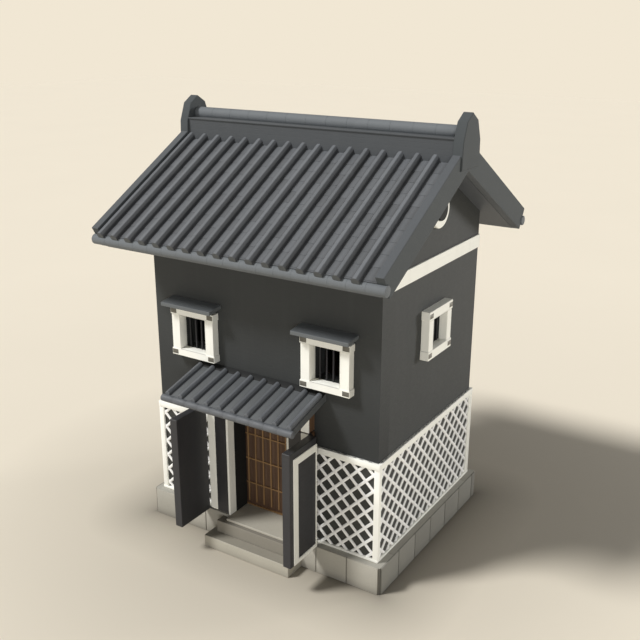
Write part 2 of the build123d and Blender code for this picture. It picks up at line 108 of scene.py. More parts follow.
# %% [markdown]
# A plain pale studio: a wide floor, a soft sun from the front left that throws the shadow
# back to the right, a low lamp from behind on the right that glances off the gable, and a
# weak low one in front. The low lamps hardly light the floor, so its shadow stays deep.
# The world lights everything a little. What the camera and gloss see of it is a plain
# cream, mixed in by the kind of ray, so the backdrop adds no light of its own.
# %% Light and floor
cream = (0.879, 0.799, 0.658, 1.0)
sky_white = (0.97, 0.98, 1.0, 1.0)
sky_strength = 0.20
scene.view_settings.view_transform = "Standard"

world = bpy.data.worlds.new("studio")
scene.world = world
world.use_nodes = True
sky = world.node_tree
sky.nodes.clear()
even, shown, ray, seen, choose, out = [
    sky.nodes.new(f"ShaderNode{kind}")
    for kind in ("Background", "Background", "LightPath", "Math", "MixShader", "OutputWorld")
]
even.inputs["Color"].default_value = sky_white
even.inputs["Strength"].default_value = sky_strength
shown.inputs["Color"].default_value = cream
seen.operation = "MAXIMUM"
for source, target in (
    (ray.outputs["Is Camera Ray"], seen.inputs[0]),
    (ray.outputs["Is Glossy Ray"], seen.inputs[1]),
    (seen.outputs[0], choose.inputs[0]),
    (even.outputs[0], choose.inputs[1]),
    (shown.outputs[0], choose.inputs[2]),
    (choose.outputs[0], out.inputs["Surface"]),
):
    sky.links.new(source, target)


def sun(name, toward, strength, spread):
    """A lamp as far as the sun: it shines along the direction toward, blurred by spread."""
    lamp = bpy.data.lights.new(name, "SUN")
    lamp.energy = strength
    lamp.angle = math.radians(spread)
    holder = bpy.data.objects.new(name, lamp)
    holder.rotation_euler = Vector(toward).to_track_quat("-Z", "Y").to_euler()
    scene.collection.objects.link(holder)


sun("front_left_sun", (0.60, 0.617, -1.0), 3.1, 12)
sun("rear_right_fill", (-0.62, -0.78, -0.10), 1.40, 12)
sun("front_fill", (-0.52, 0.85, -0.08), 0.8, 16)

floor_half = 90.0
floor_mesh = bpy.data.meshes.new("studio_floor")
floor_mesh.from_pydata(
    [(x * floor_half, y * floor_half, 0) for x, y in ((-1, -1), (1, -1), (1, 1), (-1, 1))],
    [], [(0, 1, 2, 3)],
)
studio_floor = bpy.data.objects.new("studio_floor", floor_mesh)
scene.collection.objects.link(studio_floor)


# %% [markdown]
# Finishes are worked out by arithmetic on noise patterns. To write that as plain
# expressions, Signal wraps one output of a node: adding, subtracting or multiplying it
# adds the Math node that does so. Finish holds the material itself and makes every other
# kind of node through one method, so each plaster, tile or wood below is a few readable
# lines.
# %% Shader arithmetic
class Signal:
    """One number that varies over a surface, on which + - * work."""

    def __init__(self, finish, socket):
        self.finish = finish
        self.socket = socket

    def math(self, operation, *values):
        """A Math node on these values, in order, or on this signal alone."""
        inputs = dict(enumerate(values or (self,)))
        made = self.finish.node("ShaderNodeMath", {"operation": operation}, inputs)
        return Signal(self.finish, made.outputs[0])

    def __add__(self, other):
        return self.math("ADD", self, other)

    def __sub__(self, other):
        return self.math("SUBTRACT", self, other)

    def __rsub__(self, other):
        return self.math("SUBTRACT", other, self)

    def __mul__(self, other):
        return self.math("MULTIPLY", self, other)

    __radd__ = __add__
    __rmul__ = __mul__

    def between(self, low, high):
        """0 below low, 1 above high and even between; low may be the larger."""
        inputs = {"Value": self, 1: low, 2: high}
        made = self.finish.node("ShaderNodeMapRange", {"clamp": True}, inputs)
        return Signal(self.finish, made.outputs[0])


class Finish:
    """A material in the making: patterns in Object coordinates around one shader."""

    def __init__(self, name, roughness=0.6, specular=0.4):
        self.material = bpy.data.materials.new(name)
        self.material.use_nodes = True
        self.tree = self.material.node_tree
        self.shader = self.tree.nodes["Principled BSDF"]
        self.shader.inputs["Roughness"].default_value = roughness
        self.shader.inputs["Specular IOR Level"].default_value = specular
        self.place = self.node("ShaderNodeTexCoord").outputs["Object"]

    def node(self, kind, settings=None, inputs=None):
        """One node of this kind: its settings first, then the value or link of each socket."""
        made = self.tree.nodes.new(kind)
        for key, value in (settings or {}).items():
            setattr(made, key, value)
        for key, value in (inputs or {}).items():
            self.feed(made.inputs[key], value)
        return made

    def feed(self, socket, value):
        """Link a signal or a socket, or set a plain value."""
        if isinstance(value, Signal):
            value = value.socket
        if isinstance(value, bpy.types.NodeSocket):
            self.tree.links.new(value, socket)
        elif socket.type == "VECTOR":
            socket.default_value = value[:3]
        else:
            socket.default_value = value

    def axis(self, letter):
        """The X, Y or Z coordinate in metres."""
        made = self.node("ShaderNodeSeparateXYZ", None, {0: self.place})
        return Signal(self, made.outputs[letter])

    def noise(self, scale, stretch=(1, 1, 1), detail=4.0):
        """Cloudy noise about 0, roughly from -1 to 1; stretch makes it finer along an axis."""
        mapped = self.node("ShaderNodeMapping", None, {"Vector": self.place, "Scale": stretch})
        inputs = {"Vector": mapped.outputs[0], "Scale": scale, "Detail": detail}
        made = self.node("ShaderNodeTexNoise", None, inputs)
        return (Signal(self, made.outputs["Fac"]) - 0.5) * 3.0

    def attribute(self, name):
        """A number stored on the piece's points; 0 where the piece has none."""
        made = self.node("ShaderNodeAttribute", {"attribute_name": name})
        return Signal(self, made.outputs["Fac"])

    def blend(self, mask, under, over):
        """Colour under, going over to colour over as mask rises from 0 to 1. A Mix node's
        colour sockets are its inputs 6 and 7 and its output 2."""
        made = self.node("ShaderNodeMix", {"data_type": "RGBA"}, {0: mask, 6: under, 7: over})
        return made.outputs[2]

    def lit(self, colour, level):
        """A colour made lighter or darker by a level that varies about 1."""
        grey = self.node("ShaderNodeCombineXYZ", None, dict.fromkeys(range(3), level)).outputs[0]
        made = self.node("ShaderNodeVectorMath", {"operation": "MULTIPLY"}, {0: colour, 1: grey})
        return made.outputs[0]

    def relief(self, height, depth):
        """Roughen the surface: height varies about 0 and depth is in metres."""
        made = self.node("ShaderNodeBump", None, {"Height": height, "Distance": depth})
        self.feed(self.shader.inputs["Normal"], made.outputs[0])

    def finish(self, colour, roughness=None):
        """Give the shader its colour and, where it varies, its roughness."""
        self.feed(self.shader.inputs["Base Color"], colour)
        if roughness is not None:
            self.feed(self.shader.inputs["Roughness"], roughness)
        return self.material


def srgb(red, green, blue):
    """A colour given as the eye sees it, 0 to 255, in the linear values of a shader."""
    shown = np.array([red, green, blue]) / 255
    low = shown / 12.92
    high = ((shown + 0.055) / 1.055) ** 2.4
    return tuple(np.where(shown > 0.04045, high, low).tolist()) + (1.0,)


print("shader helpers ready")


# %% [markdown]
# The walls of a storehouse are thick earth, closed with lime plaster. The upper walls
# carry dark plaster coloured with soot ash: matt, a little cloudy from the trowel, paler
# where rain has run down. White plaster on the frames and ridges is cleaner, with grey
# dust in its lower edges. Both could be painted maps, but noise at three sizes needs no
# picture and stays sharp at any distance.
# %% Plaster finishes
# Painted shade on the front wall: darker from 3.9 m down to 2.3 m, and much darker in the doorway's
# side reveals.
shade_top, shade_foot = 3.9, 2.3
wall_shade, reveal_shade = 0.33, 0.65


def plaster(
    name, colour, dust, dust_most, roughness,
    cloud=0.10, relief=0.0012, specular=0.3, shaded_doorway=None,
):
    """Trowelled plaster: broad clouds, trowel strokes, and dust that runs down in streaks.
    A doorway, given as its half width and its head, gets painted shade on its sides; with it
    the wall gets painted shade too, deepening downwards, under the porch and beside it."""
    make = Finish(name, roughness, specular)
    broad = make.noise(0.9)
    strokes = make.noise(9.0, (1.0, 1.0, 2.5))
    grit = make.noise(160.0, detail=2.0)
    runs = make.noise(5.0, (1.0, 1.0, 0.08)).between(0.1, 1.0)
    level = 1.0 + broad * cloud + strokes * (cloud * 0.35) + grit * 0.03
    level = level + make.attribute("tone") * 0.05
    shade = make.blend(runs * dust_most, make.lit(colour, level), dust)
    if shaded_doorway:
        half, head = shaded_doorway
        foot = make.axis("Z").between(shade_top, shade_foot)
        reveal = make.axis("X").math("ABSOLUTE").between(half + 0.004, half + 0.001)
        reveal = reveal * make.axis("Z").between(head + 0.004, head + 0.001)
        shade = make.lit(shade, (1.0 - foot * wall_shade) * (1.0 - reveal * reveal_shade))
    make.relief(strokes * 0.8 + grit * 0.25, relief)
    return make.finish(shade, roughness + strokes * 0.05)


dark = (srgb(57, 59, 59), srgb(82, 84, 83), 0.10, 0.68, 0.07)
doorway = (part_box("front_wall_right")[0].x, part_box("front_wall_over_door")[0].z)
dark_plaster = plaster("dark_plaster", *dark, specular=0.32)
front_plaster = plaster("front_plaster", *dark, specular=0.32, shaded_doorway=doorway)
white_plaster = plaster(
    "white_plaster", srgb(247, 246, 237), srgb(210, 207, 198), 0.18, 0.62, 0.02,
)
ridge_plaster = plaster(
    "ridge_plaster", srgb(245, 244, 241), srgb(208, 207, 203), 0.20, 0.62, 0.02,
)
black_plaster = plaster(
    "black_plaster", srgb(46, 46, 49), srgb(66, 66, 68), 0.20, 0.45, 0.08, 0.0008, 0.45,
)
# Near-black plaster: the roundel bosses' own colour, and painted shade on the porch fillet.
soot_and_shade_plaster = plaster(
    "soot_and_shade_plaster", srgb(33, 34, 34), srgb(48, 49, 49), 0.20, 0.65, 0.06, specular=0.15,
)
print("plasters made")


# %% [markdown]
# The roof is covered with smoked clay tiles: silver grey, each a slightly different tone
# from its place in the kiln, speckled, with a soft sheen. Each tile is a piece of its own
# below and stores a tone on its points, which this finish reads.
# %% Tile finish
def tiles(name, colour, pale, roughness, specular=0.45, painted_faces=None):
    """Smoked clay: a tone for each tile, fine speckle, and paler weathered patches. For a
    board along a slope, the last argument gives the height of its apex, the rise of the slope,
    its upright thickness and paler colours for its upper and under faces: painted light."""
    make = Finish(name, roughness, specular)
    broad = make.noise(0.7)
    speckle = make.noise(55.0, detail=6.0)
    fine = make.noise(300.0, detail=2.0)
    bleach = make.noise(3.0).between(0.2, 1.2)
    level = 1.0 + make.attribute("tone") * 0.16 + broad * 0.05 + speckle * 0.07 + fine * 0.05
    shade = make.blend(bleach * 0.28, make.lit(colour, level), pale)
    if painted_faces:
        apex, rise, thick, upper_colour, under_colour = painted_faces
        below = apex - make.axis("Z") - make.axis("Y").math("ABSOLUTE") * rise
        upper, under = below.between(0.010, 0.004), below.between(thick - 0.010, thick - 0.004)
        shade = make.blend(upper, shade, make.lit(upper_colour, level))
        shade = make.blend(under, shade, make.lit(under_colour, level))
    make.relief(speckle * 0.6 + fine * 0.3, 0.0016)
    return make.finish(shade, roughness + speckle * 0.06)


roof_tile = tiles("roof_tile", srgb(90, 93, 97), srgb(109, 111, 114), 0.55)
# A paler copy of the tile finish for the covers, whose sides get painted shade below: together they
# paint light on the top facet.
cover_tile = tiles("cover_tile", srgb(99, 102, 106), srgb(112, 115, 117), 0.60, 0.35)
roll_tile = tiles("roll_tile", srgb(105, 109, 112), srgb(120, 123, 125), 0.70, 0.30)
hood_tile = tiles("hood_tile", srgb(99, 103, 105), srgb(113, 116, 116), 0.60)
verge_tile = tiles("verge_tile", srgb(71, 75, 77), srgb(83, 87, 89), 0.75, 0.25)
pitch = math.radians(29.5)
eave_line = 5.684
soffit_apex = eave_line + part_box("back_wall")[1].y * math.tan(pitch)
barge_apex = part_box("bargeboards")[1].z
# Painted light: the bargeboards' upper and under faces get paler colours than their sides.
barge_painted_light = (
    barge_apex, math.tan(pitch), barge_apex - soffit_apex, srgb(85, 88, 91), srgb(99, 102, 105),
)
barge_tile = tiles(
    "barge_tile", srgb(73, 77, 79), srgb(85, 89, 91), 0.75, 0.25, painted_faces=barge_painted_light,
)
ridge_wall_tile = tiles("ridge_wall_tile", srgb(77, 80, 83), srgb(89, 92, 94), 0.70, 0.30)
ridge_tile = tiles("ridge_tile", srgb(80, 83, 85), srgb(96, 99, 99), 0.60)
wall_tile = tiles("wall_tile", srgb(48, 49, 46), srgb(64, 65, 62), 0.62)
print("tiles made")


# %% [markdown]
# The base and the steps are sawn blocks of soft grey stone. Such stone is grainy, has
# small dark pits, and is damp and darker where it stands on the ground. The side faces of
# the base, the treads of the steps and the upper step are darker still: painted shade. So
# the finish takes its colours and the height of a tread as arguments.
# %% Stone finish
damp_height = 0.14


def stone_finish(name, colour, damp, top=None, top_colour=None):
    """Sawn stone: grain, dark pits, a tone for each block, a damp foot, and another colour
    from 4 mm under the top, which on the steps' treads is painted shade."""
    make = Finish(name, 0.82, 0.3)
    broad = make.noise(1.7)
    grain = make.noise(70.0, detail=6.0)
    pits = make.noise(38.0, detail=3.0).between(0.75, 1.2)
    saw = make.noise(12.0, (1.0, 1.0, 6.0))
    height = make.axis("Z")
    level = 1.0 + make.attribute("tone") * 0.08 + broad * 0.06 + grain * 0.07 + saw * 0.025
    shade = make.blend(pits * 0.4, make.lit(colour, level), damp)
    shade = make.blend(height.between(damp_height, 0.0) * 0.35, shade, damp)
    if top is not None:
        top_skin = height.between(top - 0.004, top - 0.001)
        shade = make.blend(top_skin * (0.9 + broad * 0.1), shade, make.lit(top_colour, level))
    make.relief(grain * 0.5 + saw * 0.2 - pits * 0.8, 0.003)
    return make.finish(shade, 0.82 + broad * 0.05)


damp_stone = srgb(108, 103, 93)
facing_stone = stone_finish("facing_stone", srgb(167, 163, 152), damp_stone)
# Painted shade: the base's side faces get a darker copy of the facing stone.
side_stone_painted_shade = stone_finish("side_stone_painted_shade", srgb(130, 128, 120), srgb(98, 96, 88))
stone = stone_finish("stone", srgb(176, 171, 158), damp_stone)
# Top colours: the darker treads of both steps, and the darker upper step as a whole, are painted shade
# of the door leaves and porch. The core's top is paler than the core below it, and the threshold's top
# is a little darker.
topped = {}
for node, name, colour, damp, top_colour in (
    ("plinth", "core_stone", srgb(100, 97, 89), srgb(84, 80, 72), srgb(166, 163, 153)),
    ("lower_step", "lower_step_stone", srgb(178, 173, 159), damp_stone, srgb(135, 130, 118)),
    ("upper_step", "upper_step_stone", srgb(135, 130, 119), damp_stone, srgb(120, 115, 105)),
    ("threshold", "threshold_stone", srgb(176, 171, 158), damp_stone, srgb(168, 163, 150)),
):
    topped[node] = stone_finish(name, colour, damp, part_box(node)[1].z, top_colour)
print("stones with a worn top", len(topped))


# %% [markdown]
# The timber is cedar that has browned with age. Its grain runs along each board, so the
# finish takes the direction of the grain and stretches its noise that way: long dark
# streaks, finer fibres, and a groove of relief that follows them.
# %% Wood finish
def wood(name, colour, grain_colour, grain, roughness=0.62):
    """Aged timber with its grain along one axis, given as a stretch of the noise."""
    make = Finish(name, roughness, 0.35)
    bands = make.noise(14.0, grain, detail=5.0)
    fibre = make.noise(90.0, grain, detail=2.0)
    broad = make.noise(1.5)
    level = 1.0 + broad * 0.08 + fibre * 0.10 + make.attribute("tone") * 0.12
    shade = make.blend(bands.between(-0.3, 1.1) * 0.65, make.lit(colour, level), grain_colour)
    make.relief(bands * 0.5 + fibre * 0.5, 0.0012)
    return make.finish(shade, roughness + bands * 0.06)


upright = (1.0, 1.0, 0.06)
lengthwise = (0.06, 1.0, 1.0)
door_wood = wood("door_wood", srgb(148, 116, 78), srgb(104, 78, 50), upright)
door_board_wood = wood("door_board_wood", srgb(88, 66, 50), srgb(58, 42, 31), upright)
surround_wood = wood("surround_wood", srgb(104, 78, 56), srgb(64, 47, 34), upright)
floor_wood = wood("floor_wood", srgb(132, 108, 80), srgb(88, 68, 48), lengthwise)
print("woods made")


# %% [markdown]
# The window bars, hinge arms and corner plates are hand-forged iron, almost black, with
# a brown bloom of rust in the hollows. The metal shows only where it is rubbed, so most
# of it is a rough dark coat and the noise decides how metallic each spot is.
# %% Iron finish
def iron_finish(name, colour, rust):
    """Forged iron: hammered relief, brown bloom in the low spots."""
    make = Finish(name, 0.55, 0.5)
    hammer = make.noise(45.0, detail=3.0)
    bloom = make.noise(20.0, detail=5.0).between(0.2, 1.0)
    shade = make.blend(bloom * 0.35, make.lit(colour, 1.0 + hammer * 0.12), rust)
    make.relief(hammer, 0.0015)
    make.feed(make.shader.inputs["Metallic"], 0.45 - bloom * 0.35)
    return make.finish(shade, 0.5 + bloom * 0.25)


iron = iron_finish("iron", srgb(58, 59, 60), srgb(76, 60, 50))
bar_iron = iron_finish("bar_iron", srgb(44, 44, 47), srgb(56, 47, 41))
plate_iron = iron_finish("plate_iron", srgb(106, 104, 97), srgb(84, 77, 68))
print("irons made")


# %% [markdown]
# The studio floor is a matt pale cream with a trace of unevenness, so that the soft
# shadow lies on something. It carries painted shade too: it darkens towards the building,
# and most at the foot of its base. It isn't part of the storehouse.
# %% Floor finish
contact_shade_reach = 1.3
near, middle, far = 2.8, 7.0, 18.0


def floor_finish():
    """Matt cream with a faint cloud, and painted shade round the building: darker by the
    distance from its middle, and by the root of the distance from the foot of its base."""
    make = Finish("studio_floor", 0.95, 0.0)
    x, y = make.axis("X"), make.axis("Y")
    away = (x * x + y * y).math("SQRT")
    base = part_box("plinth")[1]
    beyond_x = x.math("MAXIMUM", x.math("ABSOLUTE") - base.x, 0.0)
    beyond_y = y.math("MAXIMUM", y.math("ABSOLUTE") - base.y, 0.0)
    from_base = (beyond_x * beyond_x + beyond_y * beyond_y).math("SQRT")
    contact_shade = from_base.between(0.0, contact_shade_reach).math("SQRT")
    level = 0.68 + away.between(near, middle) * 0.27 + away.between(middle, far) * 0.05
    level = (level + make.noise(0.25) * 0.008) * (0.42 + contact_shade * 0.58)
    return make.finish(make.lit((0.87, 0.79, 0.65, 1.0), level))


studio_floor.data.materials.append(floor_finish())
print("floor made")


# %% [markdown]
# Nearly every new piece is a section carried along a path: a tile, a plaster ridge, a
# stone, a bar. So one function makes them all from an array of rings. Each ring is the
# section at one station; faces join each ring to the next, and the end rings are closed.
# %% Pieces from rings
pieces = []


def points(x, y, z):
    """Points from three arrays or numbers, stretched until they fit together."""
    return np.stack(np.broadcast_arrays(x, y, z), axis=-1)


def place_piece(name, mesh, tone, finish, stands_for, slot=None, sharp=40):
    """Store a tone for each point, turn the faces outwards, smooth what turns by less than
    sharp degrees, and hang the piece on its body. A piece that stands for a node rides on
    that node's body and has its slot, unless another slot is given."""
    if tone is not None:
        stored = mesh.attributes.new("tone", "FLOAT", "POINT")
        stored.data.foreach_set("value", tone.astype(np.float32).ravel())
    shell = bmesh.new()
    shell.from_mesh(mesh)
    bmesh.ops.recalc_face_normals(shell, faces=shell.faces)
    shell.to_mesh(mesh)
    shell.free()
    mesh.shade_smooth()
    mesh.set_sharp_from_angle(angle=math.radians(sharp))
    mesh.materials.append(finish)
    piece = bpy.data.objects.new(name, mesh)
    scene.collection.objects.link(piece)
    body = nodes[stands_for]["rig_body"] if stands_for else "building"
    slot = slot or slot_of[stands_for]
    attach(piece, body)
    if stands_for:
        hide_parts(stands_for)
    pieces.append(piece)
    return piece


def from_rings(
    name, rings, finish, stands_for=None, slot=None, tone=None, closed_path=False, sharp=40,
):
    """rings[k, m, s] is point s of the section at station m of piece k. Face (m, s) joins
    points s and s + 1 of station m to the same points of station m + 1. The tone is one
    number for each piece, or an array that fits [k, m, s]."""
    rings = np.asarray(rings, float)
    if rings.ndim == 3:
        rings = rings[None]
    index = np.arange(rings[..., 0].size).reshape(rings.shape[:3])
    beside, ahead = np.roll(index, -1, axis=2), np.roll(index, -1, axis=1)
    sides = np.stack([index, beside, np.roll(beside, -1, axis=1), ahead], axis=-1)
    caps = []
    if not closed_path:
        sides = sides[:, :-1]
        caps = np.concatenate([index[:, 0, ::-1], index[:, -1]]).tolist()
    mesh = bpy.data.meshes.new(name)
    mesh.from_pydata(rings.reshape(-1, 3).tolist(), [], sides.reshape(-1, 4).tolist() + caps)
    if tone is not None:
        tone = np.broadcast_to(tone if tone.ndim == 3 else tone[:, None, None], index.shape)
    place_piece(name, mesh, tone, finish, stands_for, slot, sharp)


edge_steps = 2
edge_turn = math.radians(78)
axes_from = {"x": (0, 1, 2), "y": (1, 0, 2), "z": (2, 0, 1)}


def soft_boxes(path, low, high, radius):
    """Rings of boxes with rounded edges between low and high corners, carried along the
    axis path. Shrink each box by the radius, then swell it by a ball of that radius: a
    station at angle a round the ball lies radius * sin a beyond the shrunk end, and its
    section is the shrunk rectangle grown by radius * cos a."""
    order = axes_from[path]
    low, high = np.atleast_2d(low)[:, order], np.atleast_2d(high)[:, order]
    middle = ((low + high) / 2)[:, :, None, None]
    half = ((high - low) / 2 - radius)[:, :, None, None]
    bend = np.linspace(0, 1, edge_steps + 1)
    end = np.repeat([-1, 1], edge_steps + 1)[:, None]
    ball = edge_turn * np.concatenate([1 - bend, (1 - bend)[::-1]])[:, None]
    corner = np.repeat([0, 1, 2, 3], edge_steps + 1)
    turn = np.radians(corner * 90 + np.tile(bend, 4) * 90)
    side_y, side_z = np.array([1, -1, -1, 1])[corner], np.array([1, 1, -1, -1])[corner]
    x = middle[:, 0] + end * (half[:, 0] + radius * np.sin(ball))
    y = middle[:, 1] + side_y * half[:, 1] + radius * np.cos(ball) * np.cos(turn)
    z = middle[:, 2] + side_z * half[:, 2] + radius * np.cos(ball) * np.sin(turn)
    return points(x, y, z)[..., np.argsort(order)]


random = np.random.default_rng(12)
print("ring helpers ready")


# %% [markdown]
# Plastered and sawn edges are never knife sharp. Where a carried-over piece has the right
# form, a copy of it gets its loose triangles merged, its flat faces joined, and a narrow
# Bevel, which catches the light along each edge as the real arris does. The copy then
# stands for the original.
# %% Softened copies
bevel_from = math.radians(35)


def soften(node, finish, width):
    """A copy of a node with its edges rounded by this width."""
    mesh = nodes[node].data.copy()
    mesh.name = f"{node}_soft"
    mesh.materials.clear()
    shell = bmesh.new()
    shell.from_mesh(mesh)
    bmesh.ops.remove_doubles(shell, verts=shell.verts, dist=1e-5)
    flat = math.radians(1)
    bmesh.ops.dissolve_limit(shell, angle_limit=flat, verts=shell.verts, edges=shell.edges)
    shell.to_mesh(mesh)
    shell.free()
    piece = place_piece(mesh.name, mesh, None, finish, node)
    bevel = piece.modifiers.new("edge", "BEVEL")
    bevel.width = width
    bevel.segments = 2
    bevel.limit_method = "ANGLE"
    bevel.angle_limit = bevel_from
    bevel.harden_normals = True


worn_edge, plaster_edge, fine_edge, band_edge = 0.012, 0.008, 0.005, 0.004
for node in ("lower_step", "upper_step", "threshold"):
    soften(node, topped[node], worn_edge)
for names, finish, width in (
    ("front_windows side_windows gable_bands", white_plaster, plaster_edge),
    ("left_door_border right_door_border", white_plaster, plaster_edge),
    ("surround_white_bands doorway_lining", white_plaster, fine_edge),
    ("left_door right_door", black_plaster, worn_edge),
    ("surround_black_band", black_plaster, band_edge),
    ("bargeboards", barge_tile, worn_edge),
    ("front_window_hoods", hood_tile, worn_edge),
    ("door_head_beam door_jambs", surround_wood, fine_edge),
):
    for node in names.split():
        soften(node, finish, width)
print("softened copies", len(pieces))


# %% [markdown]
# The base of a storehouse is a core faced with sawn blocks, set with narrow open joints
# so that rain runs off. The blocks are soft boxes in four rows, one row a side, each block
# a hair prouder or flatter than its neighbour. The core behind them shows in the joints.
# %% Stone base
proud = 0.024
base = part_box("plinth")[1]
core_x, core_y, base_top = base.x - proud, base.y - proud, base.z
door_half = 0.615
threshold_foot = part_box("threshold")[0].z
floor_low, floor_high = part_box("ground_floor")
room_x, room_y, floor_foot = floor_high.x, floor_high.y, floor_low.z

core_boxes = np.array([
    [(-core_x, room_y, 0), (core_x, core_y, base_top)],
    [(-core_x, -core_y, 0), (-room_x, room_y, base_top)],
    [(room_x, -room_y, 0), (core_x, room_y, base_top)],
    [(-room_x, -core_y, 0), (-door_half, -room_y, base_top)],
    [(door_half, -core_y, 0), (core_x, -room_y, base_top)],
    [(-door_half, -core_y, 0), (door_half, -room_y, threshold_foot)],
    [(-room_x, -room_y, 0), (room_x, room_y, floor_foot)],
])
core = soft_boxes("x", core_boxes[:, 0], core_boxes[:, 1], 0.006)
from_rings("plinth_core", core, topped["plinth"], "plinth")

corner_bare = 0.022
facing_foot, facing_head = 0.002, base_top - 0.003
stone_edge = 0.008


def stone_row(axis, side, half_length, half_depth, blocks, joint, closer):
    """Low and high corners of one row of facing blocks with open joints between them. A
    closer is the length of a narrow last block."""
    row_end = half_length - corner_bare
    edges = np.linspace(-row_end, row_end - closer, blocks + 1)
    if closer:
        edges = np.append(edges, row_end)
    start, end = edges[:-1] + joint / 2, edges[1:] - joint / 2
    stand = proud + random.uniform(-0.003, 0.0, len(start))
    near, far = side * (half_depth - 0.01), side * (half_depth + stand)
    low = points(start, np.minimum(near, far), facing_foot)
    high = points(end, np.maximum(near, far), facing_head)
    return low[:, axes_from[axis]], high[:, axes_from[axis]]


for name, finish, axis, sizes in (
    ("facing_stones_long", facing_stone, "x", (core_x, core_y, 8, 0.015, 0.0)),
    ("facing_stones_short", side_stone_painted_shade, "y", (core_y, core_x, 6, 0.024, 0.160)),
):
    low, high = np.concatenate([stone_row(axis, side, *sizes) for side in (-1, 1)], axis=1)
    blocks = soft_boxes(axis, low, high, stone_edge)
    tone = random.uniform(-1, 1, len(blocks))
    from_rings(name, blocks, finish, "plinth", tone=tone)
    print(name, len(blocks))


# %% [markdown]
# Namako, the sea slug, is the name of the swelling plaster ridge over the joints of tiles
# nailed to the wall. Each ridge is one section, flat on the wall and rounded on its back,
# carried along a diagonal. Every point of the section follows its own line and stops where
# that line leaves the panel, so the ends are cut true to the edges without any boolean.
# %% Namako ridges
rib_width = 0.054
rib_rise = 0.029
diamond_rise = 0.2873
net_rows = 6
lattice_low, lattice_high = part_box("right_lattice")
panel_foot, panel_head = lattice_low.z, lattice_high.z
top_rail, bottom_rail = 0.110, 0.040
net_hidden = 0.029
net_middle = panel_head - top_rail + net_hidden - net_rows * diamond_rise / 2
wall_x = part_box("right_wall")[1].x
wall_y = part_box("back_wall")[1].y
surround_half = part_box("surround_white_bands")[1].x


def ridge_section(width, rise, power=3.2, steps=9):
    """Across and out of the wall: out = rise * (1 - |2 * across / width| ** power) ** (1 / power),
    a flat-backed swelling, closed along the wall."""
    turn = np.linspace(0, np.pi, steps)
    across = width / 2 * np.sign(np.cos(turn)) * np.abs(np.cos(turn)) ** (2 / power)
    out = rise * np.sin(turn) ** (2 / power)
    return across, out


def net_rings(run, x0, x1):
    """Rings of every diagonal of a net centred on its wall, in wall coordinates (along,
    up, out), cut to the panel from x0 to x1."""
    across, out = ridge_section(rib_width, rib_rise)
    reach = int(np.ceil((max(abs(x0), abs(x1)) + net_rows * run / 2) / run))
    k = np.arange(-reach, reach + 1)[:, None]
    length = math.hypot(run, diamond_rise)
    found = []
    for lean in (1, -1):
        step = np.array([run, lean * diamond_rise]) / length
        start_x = k * run - across * step[1]
        start_z = np.broadcast_to(net_middle + across * step[0], start_x.shape)
        to_sides = np.stack([(x0 - start_x) / step[0], (x1 - start_x) / step[0]])
        to_rails = np.stack([(panel_foot - start_z) / step[1], (panel_head - start_z) / step[1]])
        begin = np.maximum(to_sides.min(0), to_rails.min(0))
        end = np.minimum(to_sides.max(0), to_rails.max(0))
        kept = (end - begin).min(axis=1) > rib_width / 2
        travel = np.stack([begin, end], axis=1)[kept]
        x = start_x[kept][:, None] + travel * step[0]
        z = start_z[kept][:, None] + travel * step[1]
        found.append(points(x, z, out))
    return np.concatenate(found)


def on_wall(rings, wall, outer):
    """Turn (along, up, out) into (x, y, z) on the front, back, left or right wall."""
    along, height, depth = rings[..., 0], rings[..., 1], outer + rings[..., 2]
    turned_to = {
        "front": (along, -depth), "back": (-along, depth),
        "left": (-depth, -along), "right": (depth, along),
    }
    return points(*turned_to[wall], height)


front_run, side_run = 0.2905, 0.2945
panels = {
    "front_lattice": ("front", wall_y, front_run, [(-wall_x, -surround_half), (surround_half, wall_x)]),
    "back_lattice": ("back", wall_y, front_run, [(-wall_x, wall_x)]),
    "left_lattice": ("left", wall_x, side_run, [(-wall_y, wall_y)]),
    "right_lattice": ("right", wall_x, side_run, [(-wall_y, wall_y)]),
}
for node, (wall, outer, run, stretches) in panels.items():
    ridges = [on_wall(net_rings(run, x0, x1), wall, outer) for x0, x1 in stretches]
    ridges = np.concatenate(ridges)
    tone = random.uniform(-0.6, 0.6, len(ridges))
    from_rings(f"{node}_ridges", ridges, ridge_plaster, node, tone=tone)
    print(node, "ridges", len(ridges))


# %% [markdown]
# Broad plaster rails close the net above and below, and posts close it at the corners of
# the building. They are soft boxes in wall coordinates, turned onto each wall.
# %% Namako rails and posts
rail_proud, post_proud, corner_post = 0.054, 0.044, 0.050
rail_edge = 0.007


def rail_rings(over, x0, x1):
    """Rings (along, up, out) of the rails and corner posts of one stretch. Over is how far
    the rails pass a corner of the building."""
    ends = [(x0, 1), (x1, -1)]
    ends = [(x - inward * over if abs(x) > surround_half else x, inward) for x, inward in ends]
    low_end, high_end = ends[0][0], ends[1][0]
    low = [(low_end, panel_foot, 0.0), (low_end, panel_head - top_rail, 0.0)]
    high = [(high_end, panel_foot + bottom_rail, rail_proud), (high_end, panel_head, rail_proud)]
    boxes = [soft_boxes("x", low, high, rail_edge)]
    for x, inward in ends:
        if abs(x) > surround_half:
            near, far = sorted((x, x + inward * (corner_post + over)))
            low, high = (near, panel_foot, 0.0), (far, panel_head, post_proud)
            boxes.append(soft_boxes("y", low, high, rail_edge))
    return np.concatenate(boxes)


for node, (wall, outer, run, stretches) in panels.items():
    over = rail_proud if wall in ("front", "back") else 0.0
    rails = [on_wall(rail_rings(over, x0, x1), wall, outer) for x0, x1 in stretches]
    rails = np.concatenate(rails)
    from_rings(f"{node}_rails", rails, white_plaster, node)
    print(node, "rails and posts", len(rails))


